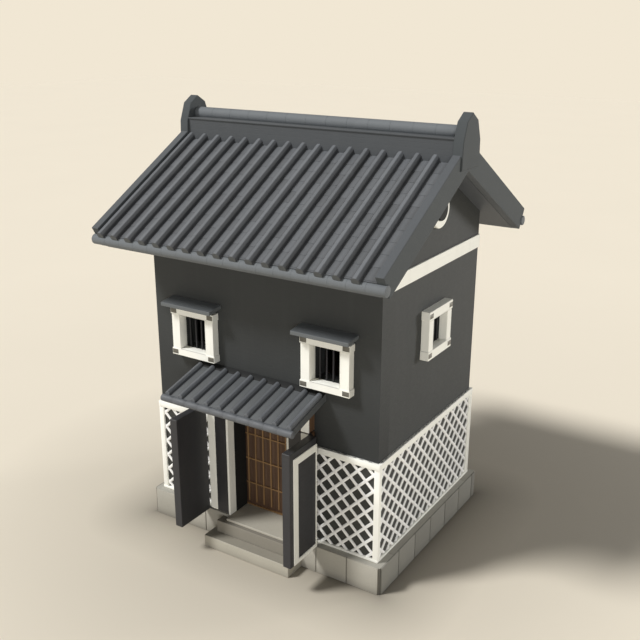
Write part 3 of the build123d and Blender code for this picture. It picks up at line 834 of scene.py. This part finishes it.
# %% [markdown]
# Behind the ridges lie the square tiles themselves, set on their corners. A thin plate a
# few millimetres off the wall for each diamond is enough: its arris hides under the
# ridges, and its own tone sets it off from the plaster.
# %% Namako tiles
tile_thickness = 0.008
tile_gap = 0.010
diamond_corners = np.array([(0.5, 0.0), (0.0, 0.5), (-0.5, 0.0), (0.0, -0.5)])


def diamond_rings(run, x0, x1):
    """Rings of a flat tile for each diamond of the net: four corners at half a run along
    and half a rise up, held inside the panel, carried out from the wall."""
    size = np.array([run - tile_gap, diamond_rise - tile_gap])
    reach = int(np.ceil(max(abs(x0), abs(x1)) / run)) + 1
    k = np.arange(-reach, reach + 1)
    half_rows = np.arange(-net_rows, net_rows + 1)
    found = []
    for shift, odd in ((0.0, 1), (0.5, 0)):
        rows = half_rows[half_rows % 2 == odd] / 2
        grid = np.meshgrid((k + shift) * run, net_middle + rows * diamond_rise)
        middle = np.stack(grid, axis=-1).reshape(-1, 2)
        inside = (middle[:, 0] > x0 - run / 3) & (middle[:, 0] < x1 + run / 3)
        found.append(middle[inside][:, None] + diamond_corners * size)
    outline = np.concatenate(found)[:, None]
    out = np.array([0.0, tile_thickness])[:, None]
    return points(outline[..., 0].clip(x0, x1), outline[..., 1].clip(panel_foot, panel_head), out)


for node, (wall, outer, run, stretches) in panels.items():
    flats = [on_wall(diamond_rings(run, x0, x1), wall, outer) for x0, x1 in stretches]
    flats = np.concatenate(flats)
    tone = random.uniform(-1, 1, len(flats))
    from_rings(f"{node}_tiles", flats, wall_tile, node, slot="roof_tile", tone=tone)
    print(node, "tiles", len(flats))


# %% [markdown]
# The main roof: pan tiles lie in courses on the slope, each dished and with its lower lip
# riding on the tile below, and rows of cover tiles hide the joints between them. A point
# on the slope is given by its distance down from the ridge and its height square to the
# slope, and two lines of trigonometry turn that into depth and height.
# %% Roof slope
verge_width = 0.143
verge_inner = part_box("bargeboards")[1].x - verge_width
eave_overhang = 0.715
slope_length = (wall_y + eave_overhang) / math.cos(pitch)
roof_thickness = 0.277


def on_slope(side, down, out):
    """(depth, height) of points: down the slope from the ridge, and out square to it."""
    depth = down * math.cos(pitch) + out * math.sin(pitch)
    height = out * math.cos(pitch) - down * math.sin(pitch)
    return side * depth, soffit_apex + height


deck_drop = 0.016
ridge_half = 0.280
first_cover_in = 0.052
first_cover = -verge_inner + first_cover_in
cover_pitch = 0.303
covers = int((verge_inner - first_cover) / cover_pitch) + 1
cover_x = first_cover + cover_pitch * np.arange(covers)
both_verges = np.array([-verge_inner, verge_inner])[:, None]
slopes = (("front_roof", -1), ("back_roof", 1))

for node, side in slopes:
    down = np.array([0.0, slope_length, slope_length, 0.0])
    out = np.repeat([0.0, roof_thickness - deck_drop], 2)
    deck = points(both_verges, *on_slope(side, down, out))
    from_rings(f"{node}_deck", deck, roof_tile, node)
print("cover rows", covers, "on each slope")


# %% Pan tiles
course = 0.262
first_course = 0.2
lip = 0.004
dish = 0.003
pan_depth = 0.03
# Painted shade: each pan is darker towards the covers at its sides than in its middle.
pan_painted_shade = np.array([-2.0, -2.0, 0.0, -2.0, -2.0, -2.0, -2.0])


def pan_rings(side):
    """Rings of the pan tiles: across, the top sinks by dish * (1 - (2 t) ** 2) at t from -0.5
    to 0.5 between two cover rows; down the slope it rises by lip to the lower end."""
    edges = np.concatenate([[-verge_inner], cover_x, [verge_inner]])
    rows = np.arange(first_course, slope_length, course)
    start = np.tile(edges[:-1], len(rows))[:, None]
    end = np.tile(edges[1:], len(rows))[:, None]
    top = np.repeat(rows, len(edges) - 1)[:, None]
    down = np.stack([top, np.minimum(top + course, slope_length)], axis=1)
    t = np.array([-0.5, -0.3, 0.0, 0.3, 0.5])
    x = np.concatenate([(start + end) / 2 + t * (end - start), end, start], axis=1)[:, None]
    surface = roof_thickness - lip - dish * (1 - (2 * t) ** 2)
    section = np.concatenate([surface, [roof_thickness - pan_depth] * 2])
    raised = np.concatenate([np.full(len(t), lip), [0.0, 0.0]])
    out = section + raised * np.array([[0.0], [1.0]])
    return points(x, *on_slope(side, down, out))


for node, side in slopes:
    pans = pan_rings(side)
    tone = random.uniform(-1, 1, len(pans))[:, None, None] * 0.7 + pan_painted_shade
    from_rings(f"{node}_pans", pans, roof_tile, node, tone=tone)
print("pan tiles on a slope", len(pans))


# %% [markdown]
# Cover tiles are eight-sided here, as in the photograph, with each corner eased by a
# narrow facet. Each is a little wider at its lower end, where it rides over the next one,
# so the row steps very slightly at every joint. Their tone falls down their sides to the
# pans on a paler copy of the tile finish: painted shade on the sides, painted light on the
# top facet. The lowest is closed by an end plate of its own in a darker finish, painted
# shade for an end that gets little light.
# %% Cover tiles
cover_apothem = 0.068
cover_raised = 0.016
facets = 8
ease = math.radians(4)
facet_sharp = 18
cover_length = 0.3
cover_overhang = 0.062
cover_start = 0.12


def faceted_section(apothem):
    """Across and up of a regular section with eased corners: each facet's plane is at the
    apothem, so a point at angle a from the middle of its facet is at apothem / cos a."""
    half = math.pi / facets
    from_middle = np.tile([-half + ease, half - ease], facets)
    turn = np.repeat(np.arange(facets) * 2 * half, 2) + from_middle
    reach = apothem / np.cos(from_middle)
    return reach * np.sin(turn), reach * np.cos(turn)


def tile_stations(start, end, length):
    """Stations down a row of tapered tiles: place and size. A tile begins at 0.965 of the
    full size under its upper neighbour and widens to 1 at its lip."""
    uppers = np.append(np.arange(end, start, -length)[1:], start)[::-1]
    lowers = np.append(uppers[1:], end)
    place = np.stack([uppers, lowers - 0.006, lowers], axis=1).ravel()
    size = np.tile([0.965, 1.0, 0.992], len(uppers))
    return place[:, None], size[:, None]


def cover_rings(side, place, size):
    """The section at each place down the slope and in each size, for every cover row."""
    across, up_from = faceted_section(cover_apothem)
    x = cover_x[:, None, None] + size * across
    return points(x, *on_slope(side, place, roof_thickness + cover_raised + size * up_from))


cover_end = slope_length + cover_overhang
cover_place, cover_size = tile_stations(cover_start, cover_end - 0.004, cover_length)
plate_place = cover_end - np.array([0.012, 0.002, 0.0])[:, None]
plate_size = np.array([0.90, 0.90, 0.86])[:, None]
# Painted shade: the tone falls from the top facet down the sides of each cover.
cover_painted_shade = np.interp(faceted_section(1.0)[1], [0.5, 0.95, 0.99], [-3.2, -1.6, 0.0])
for node, side in slopes:
    rows = cover_rings(side, cover_place, cover_size)
    plates = cover_rings(side, plate_place, plate_size)
    tone = random.uniform(-0.7, 0.7, covers)[:, None, None] + cover_painted_shade
    from_rings(f"{node}_covers", rows, cover_tile, node, tone=tone, sharp=facet_sharp)
    # The end plates' darker finish is painted shade.
    from_rings(f"{node}_cover_ends", plates, ridge_tile, node, sharp=facet_sharp)
print("stations in a cover row", len(cover_place))


# %% [markdown]
# Along the eaves and over the ridge lie round rolls, laid in lengths like the cover tiles.
# A circle is carried along X with the same stations, and shrinks over the last centimetre
# so that its ends are rounded.
# %% Eave rolls and ridge roll
roll_sides = 28


def roll_rings(centre_y, centre_z, radius, x0, x1, length):
    """Rings of a round roll along X with a fine step at every joint and rounded ends."""
    joints = np.linspace(x0, x1, max(2, int(round((x1 - x0) / length))) + 1)[1:-1]
    inner = joints[:, None] + np.array([-0.004, -0.002, 0.002, 0.004])
    dip = np.tile([1.0, 0.972, 0.972, 1.0], len(joints))
    ends = np.array([0.0, 0.004, 0.014])
    end_size = np.array([0.86, 0.96, 1.0])
    place = np.concatenate([x0 + ends, inner.ravel(), x1 - ends[::-1]])[:, None]
    reach = radius * np.concatenate([end_size, dip, end_size[::-1]])[:, None]
    turn = np.linspace(0, 2 * np.pi, roll_sides, endpoint=False)
    return points(place, centre_y + reach * np.cos(turn), centre_z + reach * np.sin(turn))


eave_radius = 0.088
eave_down, eave_out = slope_length + 0.026, 0.176
eave_low, eave_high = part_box("eave_rolls")
rolls = np.stack([
    roll_rings(
        *on_slope(side, eave_down, eave_out), eave_radius, eave_low.x, eave_high.x, cover_pitch,
    )
    for side in (-1, 1)
])
from_rings("eave_rolls_round", rolls, roll_tile, "eave_rolls")

ridge_low, ridge_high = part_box("ridge_roll")
ridge_radius = 0.107
ridge_tile_length = 0.4
ridge_centre = ridge_high.z - 0.003 - ridge_radius
ridge = roll_rings(
    0.0, ridge_centre, ridge_radius, ridge_low.x, ridge_high.x, ridge_tile_length,
)
from_rings("ridge_roll_round", ridge, roll_tile, "ridge_roll")

porch_low, porch_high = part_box("porch_eave_roll")
porch_centre = (porch_low + porch_high) / 2
porch_radius = (porch_high.z - porch_low.z) / 2
porch_rib_pitch = 0.270
porch_roll = roll_rings(
    porch_centre.y, porch_centre.z, porch_radius, porch_low.x, porch_high.x, porch_rib_pitch,
)
from_rings("porch_eave_roll_round", porch_roll, roof_tile, "porch_eave_roll")
print("roll radii", eave_radius, ridge_radius, round(porch_radius, 4))


# %% [markdown]
# The ridge is a small wall of flat tiles bedded in mortar, astride both slopes, with a
# cap course that stands out under the roll. A prism with shallow grooves between the
# courses shows how it is laid and keeps the plain face of the photograph. At each end a
# plate with a pointed arch stands against it.
# %% Ridge wall
roof_apex = soffit_apex + roof_thickness / math.cos(pitch)
cap_half, ridge_wall_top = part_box("ridge_wall")[1].yz
cap_height = 0.022
groove, groove_half = 0.0015, 0.005
courses, sunk = 4, 0.2
wall_head = ridge_wall_top - cap_height
wall_foot = roof_apex - math.tan(pitch) * ridge_half
joint_z = np.linspace(wall_foot, wall_head, courses + 1)[1:-1]
joint_edges = (joint_z[:, None] + np.array([-groove_half, 0.0, groove_half])).ravel()
rise = np.concatenate([[joint_z[0] - sunk], joint_edges, [wall_head]])
inset = np.concatenate([[0.0], np.tile([0.0, groove, 0.0], courses - 1), [0.0]])
side_y = np.concatenate([ridge_half - inset, (inset - ridge_half)[::-1]])
side_z = np.concatenate([rise, rise[::-1]])
section = points(both_verges, side_y, side_z)
from_rings("ridge_courses", section, ridge_wall_tile, "ridge_wall", sharp=8)
cap = soft_boxes(
    "x", (-verge_inner, -cap_half, wall_head), (verge_inner, cap_half, ridge_wall_top), 0.006,
)
from_rings("ridge_cap", cap, ridge_wall_tile, "ridge_wall")
print("ridge courses", courses)


# %% Ridge ends
end_low, end_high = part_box("ridge_ends")
end_middle = (end_low.z + end_high.z) / 2
spring_drop = 0.052
arch_spring = roof_apex - spring_drop
arch_rise = end_high.z - arch_spring
arch_angle = np.radians([18, 54, 90, 126, 162])
arch_y = end_high.y * np.concatenate([[1.0], np.cos(arch_angle), [-1.0]])
arch_top = arch_spring + arch_rise * np.sin(arch_angle)
arch_z = np.concatenate([[end_low.z], arch_top, [end_low.z]])
arch_x = np.array([verge_inner - 0.004, verge_inner + 0.006, end_high.x - 0.010, end_high.x])
size = np.array([0.97, 1.0, 1.0, 0.97])[:, None]
arches = np.stack([
    points(side * arch_x[:, None], arch_y * size, end_middle + (arch_z - end_middle) * size)
    for side in (-1, 1)
])
from_rings("ridge_end_plates", arches, verge_tile, "ridge_ends", sharp=20)
print("ridge end half width", round(end_high.y, 3))


# %% [markdown]
# The porch has a roof of its own: a slab on the surround, hung from the wall, with ten
# slim rolls that stop short of the eave in rounded ends. Rain would run in behind it where
# it meets the wall, so a low fillet of plaster closes that joint, and the rolls end against
# it. The fillet's plaster is near black, much darker than the wall: painted shade in the
# joint.
# %% Porch roof
slab_low, slab_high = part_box("porch_roof")
porch_pitch = math.radians(14.8)
porch_wall_z = 3.256
slab_thickness = 0.120
slab_end = slab_low.y


def porch_points(x, y, out):
    """Points over the porch slab: at depth y, out metres square to its top."""
    height = porch_wall_z + math.tan(porch_pitch) * (y + wall_y) + out / math.cos(porch_pitch)
    return points(x, y, height)


arris = 0.008
slab_x = np.array([slab_low.x, slab_high.x])[:, None]
slab_y = np.array([-wall_y, slab_end + arris, slab_end, slab_end, slab_end + arris, -wall_y])
slab_out = np.array([0.0, 0.0, -arris, arris - slab_thickness, -slab_thickness, -slab_thickness])
slab = porch_points(slab_x, slab_y, slab_out)
from_rings("porch_slab", slab, ridge_tile, "porch_roof")

porch_ribs = 10
porch_rib_apothem, porch_rib_up = 0.046, 0.020
fillet = 0.100
across, up_from = faceted_section(porch_rib_apothem)
rib_x = porch_rib_pitch * (np.arange(porch_ribs) - (porch_ribs - 1) / 2)
rib_foot, rib_head = slab_end + 0.012, -wall_y - fillet + 0.004
ends = np.array([0.0, 0.004, 0.010])
end_size = np.array([0.80, 0.95, 1.0])
place = np.concatenate([rib_foot + ends, rib_head - ends[::-1]])[:, None]
size = np.concatenate([end_size, end_size[::-1]])[:, None]
ribs = porch_points(rib_x[:, None, None] + size * across, place, porch_rib_up + size * up_from)
tone = random.uniform(-0.6, 0.6, porch_ribs)
from_rings("porch_ribs", ribs, roof_tile, "porch_roof", tone=tone, sharp=facet_sharp)
print("porch ribs", porch_ribs)


# %% Porch fillet
fillet_x = slab_x + np.array([[0.002], [-0.002]])
fillet_y = np.array([0.0, -fillet - 0.012, -fillet, -fillet + 0.010, 0.0]) - wall_y
fillet_out = np.array([0.0, 0.0, 0.010, 0.017, 0.030])
fillet_rings = porch_points(fillet_x, fillet_y, fillet_out)
# Painted shade: the fillet's near-black plaster stands for the shade in the joint behind the slab.
from_rings("porch_fillet", fillet_rings, soot_and_shade_plaster, slot="black_plaster")
print("fillet", fillet)


# %% [markdown]
# Each gable carries a roundel, a ring of white plaster round a dark boss. Both are turned
# shapes: the ring is a small section carried round a circle, the boss a stack of circles
# that close to a low dome.
# %% Gable roundels
ring_low, ring_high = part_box("gable_rings")
boss_low, boss_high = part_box("gable_bosses")
ring_radius = (ring_high.y - ring_low.y) / 2
boss_radius = (boss_high.y - boss_low.y) / 2
ring_middle = (ring_high.z + ring_low.z) / 2
turn = np.linspace(0, 2 * np.pi, 64, endpoint=False)[:, None]


def turned(side, radius, height):
    """Points at a radius from the roundel's axis and a height off the wall, all round."""
    y, z = radius * np.cos(turn), ring_middle + radius * np.sin(turn)
    return points(side * (wall_x + height), y, z)


ring_out, boss_out = ring_high.x - wall_x, boss_high.x - wall_x
edge = 0.012
inner_r, outer_r = boss_radius, ring_radius
ring_r = np.array([inner_r, inner_r, inner_r + edge, outer_r - edge, outer_r, outer_r])
ring_h = np.array([0.0, ring_out - edge, ring_out, ring_out, ring_out - edge, 0.0])
rings = np.stack([turned(side, ring_r, ring_h) for side in (-1, 1)])
from_rings("roundel_rings", rings, white_plaster, "gable_rings", closed_path=True)

boss_r = boss_radius * np.array([0.999, 0.999, 0.97, 0.75, 0.4, 0.04])
boss_h = boss_out - np.array([boss_out, 0.014, 0.006, 0.003, 0.001, 0.0])
bosses = np.stack([turned(side, boss_r, boss_h).transpose(1, 0, 2) for side in (-1, 1)])
from_rings("roundel_bosses", bosses, soot_and_shade_plaster, "gable_bosses")
print("roundel radius", round(ring_radius, 3))


# %% [markdown]
# Behind each window frame the opening is lined with white plaster, into the front wall
# and hardly at all in the gables, and four iron bars stand at its back. The frame's rails
# carry small iron plates at their ends. All are soft boxes in wall coordinates, placed from
# the frame's own box.
# %% Windows
class Window(NamedTuple):
    """A window in wall coordinates: the wall and its face, the middle along the wall, half
    widths over all and of the opening, foot, head, height of a rail, face of the frame off
    the wall and depth of the lining into it."""

    wall: str
    outer: float
    middle: float
    half: float
    clear: float
    foot: float
    head: float
    rail: float
    face: float
    recess: float


front_low, front_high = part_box("front_windows")
gable_low, gable_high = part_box("side_windows")
window_centre = 1.330
front_half, gable_half = front_high.x - window_centre, gable_high.y
front_post, gable_post = 0.015 + 0.165, 0.163
front_window = Window(
    "front", wall_y, window_centre, front_half, front_half - front_post,
    front_low.z, front_high.z, rail=0.120, face=-front_low.y - wall_y, recess=0.027,
)
gable_window = Window(
    "right", wall_x, 0.0, gable_half, gable_half - gable_post,
    gable_low.z, gable_high.z, rail=0.155, face=gable_high.x - wall_x, recess=0.004,
)
windows = [
    front_window._replace(middle=-window_centre), front_window,
    gable_window, gable_window._replace(wall="left"),
]


def dress_windows(name, boxes_of, path, edge, finish, slot):
    """One piece for all the windows, of soft boxes between the corners that boxes_of gives."""
    rings = np.concatenate([
        on_wall(soft_boxes(path, *boxes_of(window), edge), window.wall, window.outer)
        for window in windows
    ])
    from_rings(name, rings, finish, slot=slot)
    print(name, len(rings))


print("windows on the walls", [window.wall for window in windows])


# %% Window bars
bar_half = 0.015
bar_front = 0.012
bar_spots = np.array([-0.66, -0.22, 0.22, 0.66])
into_rail = 0.02


def bars(window):
    """Corners of four bars, their spots given as shares of half the opening."""
    x = window.middle + bar_spots * window.clear
    front = bar_front - window.recess
    low = points(x - bar_half, window.foot + window.rail - into_rail, front - 2 * bar_half)
    high = points(x + bar_half, window.head - window.rail + into_rail, front)
    return low, high


dress_windows("window_bars", bars, "y", 0.006, bar_iron, "iron")


# %% Window linings
skin = 0.004


def linings(window):
    """Corners of the four thin boards round an opening."""
    x0, x1 = window.middle - window.clear, window.middle + window.clear
    z0, z1 = window.foot + window.rail, window.head - window.rail
    back, face = -window.recess, window.face - 0.008
    low = [(x0, z0, back), (x1 - skin, z0, back), (x0, z0, back), (x0, z1 - skin, back)]
    high = [(x0 + skin, z1, face), (x1, z1, face), (x1, z0 + skin, face), (x1, z1, face)]
    return low, high


dress_windows("window_linings", linings, "z", 0.001, white_plaster, "white_plaster")


# %% Window plates
plate_half_x, plate_half_z = 0.062, 0.040
plate_inset = 0.008


def plates(window):
    """Corners of the plates at both ends of the two rails."""
    side_x, side_z = np.array([-1, 1, -1, 1]), np.array([1, 1, -1, -1])
    x = window.middle + side_x * (window.half - plate_half_x - plate_inset)
    z = np.where(side_z > 0, window.foot, window.head) + side_z * window.rail / 2
    low = points(x - plate_half_x, z - plate_half_z, window.face - 0.02)
    high = points(x + plate_half_x, z + plate_half_z, window.face + 0.003)
    return low, high


dress_windows("window_plates", plates, "z", 0.003, plate_iron, "iron")


# %% [markdown]
# The inner door slides: a boarded panel with a lattice of slim bars on its face. The bars
# are pale worn cedar, the boards dark, so they are two pieces, and both slide with it.
# %% Sliding lattice door
slider_low, slider_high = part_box("lattice_door")
bar_depth, bar_width, wood_edge = 0.022, 0.024, 0.003
board_face = slider_low.y + bar_depth
boards, board_gap = 8, 0.002
board_x = np.linspace(slider_low.x, slider_high.x, boards + 1)
low = points(board_x[:-1] + board_gap / 2, board_face, slider_low.z)
high = points(board_x[1:] - board_gap / 2, slider_high.y, slider_high.z)
door_boards = soft_boxes("z", low, high, wood_edge)
tone = random.uniform(-1, 1, boards)
from_rings("lattice_door_boards", door_boards, door_board_wood, "lattice_door", tone=tone)

uprights_across, upright_pitch, bottom_board = 8, 0.163, 0.06
rails_up, first_rail, rail_pitch = 4, 0.955, 0.487
upright_x = upright_pitch * (np.arange(uprights_across) - (uprights_across - 1) / 2)
rail_z = first_rail + rail_pitch * np.arange(rails_up)
low = points(upright_x - bar_width / 2, slider_low.y + 0.003, slider_low.z + bottom_board)
high = points(upright_x + bar_width / 2, board_face, slider_high.z)
uprights = soft_boxes("z", low, high, wood_edge)
low = points(slider_low.x, slider_low.y, rail_z - bar_width / 2)
high = points(slider_high.x, board_face, rail_z + bar_width / 2)
door_bars = np.concatenate([uprights, soft_boxes("x", low, high, wood_edge)])
tone = random.uniform(-1, 1, len(door_bars))
from_rings("lattice_door_bars", door_bars, door_wood, "lattice_door", tone=tone)
print("door bars", len(door_bars))


# %% [markdown]
# Everything that is shown as it was carried over gets its finish too: a node keeps its
# mesh, and only the material in its slots changes.
# %% Finishes for the carried-over nodes
finishes = {
    "dark_plaster": dark_plaster, "white_plaster": white_plaster, "black_plaster": black_plaster,
    "roof_tile": roof_tile, "stone": stone, "surround_wood": surround_wood,
    "door_wood": door_wood, "floor_wood": floor_wood, "iron": iron,
}
for name, node in nodes.items():
    finish = front_plaster if name.startswith("front_wall") else finishes[slot_of[name]]
    if not node.material_slots:
        node.data.materials.append(finish)
    for slot in node.material_slots:
        slot.material = finish
print("dressed", len(nodes), "nodes")
